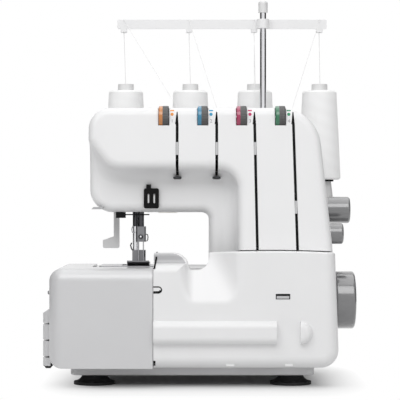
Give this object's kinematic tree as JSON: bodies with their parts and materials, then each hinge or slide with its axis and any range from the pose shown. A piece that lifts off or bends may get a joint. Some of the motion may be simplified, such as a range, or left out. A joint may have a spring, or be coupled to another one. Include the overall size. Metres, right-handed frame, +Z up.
{
  "type": "serger overlock machine",
  "caption": "Compact overlock sewing machine with a hinged looper cover, free arm, colour-marked tension dials, handwheel and a telescopic thread stand with cones",
  "frame": {"origin": "on the table under the middle of the machine's overall box, which takes in the thread stand and the handwheel", "axes": "+X to the operator's right, -Y towards the operator, +Z up"},
  "size_m": [0.3298, 0.264, 0.413],
  "materials": {
    "white_shell": "smooth gloss",
    "side_shell": "smooth satin",
    "base_grey": "fine texture",
    "black_rubber": "matt",
    "knob_grey": "fine texture",
    "dark_plastic": "matt",
    "pale_plastic": "satin",
    "steel": "ground",
    "chrome": "polished",
    "casting": "as cast",
    "bronze": "turned",
    "belt_rubber": "moulded",
    "thread": "wound",
    "lens": "frosted",
    "dial_orange": "moulded",
    "dial_blue": "moulded",
    "dial_magenta": "moulded",
    "dial_green": "moulded"
  },
  "bodies": {
    "frame": {"base_tray": "base_grey", "rubber_feet": "black_rubber", "front_casing": "white_shell", "rear_casing": "white_shell", "bed_casing": "white_shell", "main_frame": "casting", "shaft_bushes": "bronze", "motor": "steel", "motor_cradle": "steel", "drive_belt": "belt_rubber", "needle_plate": "steel", "lower_knife": "steel", "tension_brackets": "steel", "slot_liners": "dark_plastic", "tension_discs": "pale_plastic", "thread_eyelets": "steel", "thread_guide_window": "dark_plastic", "wire_guide": "dark_plastic", "lamp": "lens", "power_inlet": "dark_plastic", "switch_frame": "dark_plastic", "thread_stand": "white_shell", "cone_holders": "pale_plastic", "cone_pads": "dark_plastic", "cone_cores": "pale_plastic", "thread_windings": "thread", "antenna_sleeve": "chrome", "presser_spring": "steel", "cone_threads": "thread", "slot_threads": "thread"},
    "drive_shaft": {"main_shaft": "steel", "handwheel": "knob_grey", "shaft_pulley": "casting"},
    "motor_rotor": {"motor_pulley": "steel"},
    "rocker": {"rocker_shaft": "steel"},
    "rod": {"connecting_rod": "casting"},
    "needle_carriage": {"needle_bar": "steel", "needle_clamp": "steel", "needles": "steel"},
    "presser": {"presser_bar": "steel", "presser_foot": "steel"},
    "lifter": {"presser_lifter": "pale_plastic"},
    "feed": {"feed_dogs": "steel"},
    "looper_low": {"lower_looper": "steel"},
    "looper_high": {"upper_looper": "steel"},
    "knife": {"upper_knife": "steel"},
    "cover_carrier": {"cover_hinge_rod": "steel"},
    "looper_cover": {"front_cover": "white_shell"},
    "end_cover": {"side_cover": "side_shell", "side_grip": "pale_plastic"},
    "antenna": {"antenna_rod": "chrome", "antenna_cap": "pale_plastic", "thread_guide_bar": "pale_plastic"},
    "dial_1": {"tension_dial_1": "dial_orange"},
    "dial_2": {"tension_dial_2": "dial_blue"},
    "dial_3": {"tension_dial_3": "dial_magenta"},
    "dial_4": {"tension_dial_4": "dial_green"},
    "stitch_length": {"length_dial": "knob_grey"},
    "differential": {"feed_dial": "knob_grey"},
    "switch_key": {"power_switch": "dark_plastic"}
  },
  "joints": [
    {"name": "handwheel_turn", "type": "hinge", "parent": "frame", "child": "drive_shaft", "pos_m": [0.15, 0, 0.083], "axis": [1, 0, 0], "continuous": true},
    {"name": "motor_turn", "type": "hinge", "parent": "frame", "child": "motor_rotor", "pos_m": [0.11, 0.02, 0.05], "axis": [1, 0, 0], "continuous": true},
    {"name": "needle_rocker", "type": "hinge", "parent": "frame", "child": "rocker", "pos_m": [0, 0, 0.235], "axis": [1, 0, 0], "range_deg": [-10.8, 10.8]},
    {"name": "rod_swing", "type": "hinge", "parent": "rocker", "child": "rod", "pos_m": [0.037, -0.016, 0.235], "axis": [1, 0, 0], "range_deg": [-10.8, 10.8]},
    {"name": "needle_bar_slide", "type": "slide", "parent": "frame", "child": "needle_carriage", "axis": [0, 0, 1], "range_m": [-0.0091, 0.0091]},
    {"name": "lower_looper_swing", "type": "hinge", "parent": "frame", "child": "looper_low", "pos_m": [-0.045, -0.054, 0.045], "axis": [0, 1, 0], "range_deg": [-8, 8]},
    {"name": "upper_looper_swing", "type": "hinge", "parent": "frame", "child": "looper_high", "pos_m": [-0.015, -0.062, 0.058], "axis": [0, 1, 0], "range_deg": [-8, 8]},
    {"name": "upper_knife_slide", "type": "slide", "parent": "frame", "child": "knife", "axis": [0, 0, 1], "range_m": [-0.004, 0.004]},
    {"name": "feed_slide", "type": "slide", "parent": "frame", "child": "feed", "axis": [0, 1, 0], "range_m": [-0.002, 0.002]},
    {"name": "presser_lever", "type": "hinge", "parent": "frame", "child": "lifter", "pos_m": [-0.093, -0.02, 0.188], "axis": [0, 1, 0], "range_deg": [0, 40.5]},
    {"name": "presser_bar_slide", "type": "slide", "parent": "frame", "child": "presser", "axis": [0, 0, 1], "range_m": [0, 0.005], "deforming": ["presser_spring"]},
    {"name": "cover_slide", "type": "slide", "parent": "frame", "child": "cover_carrier", "axis": [1, 0, 0], "range_m": [0, 0.008]},
    {"name": "cover_hinge", "type": "hinge", "parent": "cover_carrier", "child": "looper_cover", "pos_m": [0.045, -0.1, 0.03], "axis": [1, 0, 0], "range_deg": [0, 70]},
    {"name": "side_cover_slide", "type": "slide", "parent": "frame", "child": "end_cover", "axis": [-1, 0, 0], "range_m": [0, 0.12]},
    {"name": "antenna_slide", "type": "slide", "parent": "frame", "child": "antenna", "axis": [0, 0, 1], "range_m": [-0.055, 0], "deforming": ["cone_threads", "slot_threads"]},
    {"name": "tension_dial_1_turn", "type": "hinge", "parent": "frame", "child": "dial_1", "pos_m": [-0.0413, -0.0775, 0.276], "axis": [1, 0, 0], "range_deg": [-150, 150]},
    {"name": "tension_dial_2_turn", "type": "hinge", "parent": "frame", "child": "dial_2", "pos_m": [-0.00127, -0.0775, 0.276], "axis": [1, 0, 0], "range_deg": [-150, 150]},
    {"name": "tension_dial_3_turn", "type": "hinge", "parent": "frame", "child": "dial_3", "pos_m": [0.03876, -0.0775, 0.276], "axis": [1, 0, 0], "range_deg": [-150, 150]},
    {"name": "tension_dial_4_turn", "type": "hinge", "parent": "frame", "child": "dial_4", "pos_m": [0.07879, -0.0775, 0.276], "axis": [1, 0, 0], "range_deg": [-150, 150]},
    {"name": "stitch_length_turn", "type": "hinge", "parent": "frame", "child": "stitch_length", "pos_m": [0.145, 0.006, 0.18], "axis": [1, 0, 0], "range_deg": [-120, 120]},
    {"name": "differential_turn", "type": "hinge", "parent": "frame", "child": "differential", "pos_m": [0.143, -0.03, 0.155], "axis": [1, 0, 0], "range_deg": [-120, 120]},
    {"name": "power_switch_rock", "type": "hinge", "parent": "frame", "child": "switch_key", "pos_m": [0.13238, 0.026, 0.04987], "axis": [0, 1, 0], "range_deg": [-8, 8]}
  ],
  "couplings": [
    {"joint": "motor_turn", "follows": "handwheel_turn", "ratio": 2.75},
    {"joint": "rod_swing", "follows": "needle_rocker", "ratio": -1},
    {"joint": "needle_bar_slide", "follows": "needle_rocker", "m_per_rad": -0.048},
    {"joint": "lower_looper_swing", "follows": "needle_rocker", "ratio": 0.74},
    {"joint": "upper_looper_swing", "follows": "needle_rocker", "ratio": -0.74},
    {"joint": "upper_knife_slide", "follows": "needle_rocker", "m_per_rad": -0.021},
    {"joint": "feed_slide", "follows": "needle_rocker", "m_per_rad": 0.0105},
    {"joint": "presser_lever", "follows": "presser_bar_slide", "rad_per_m": 139.63}
  ]
}
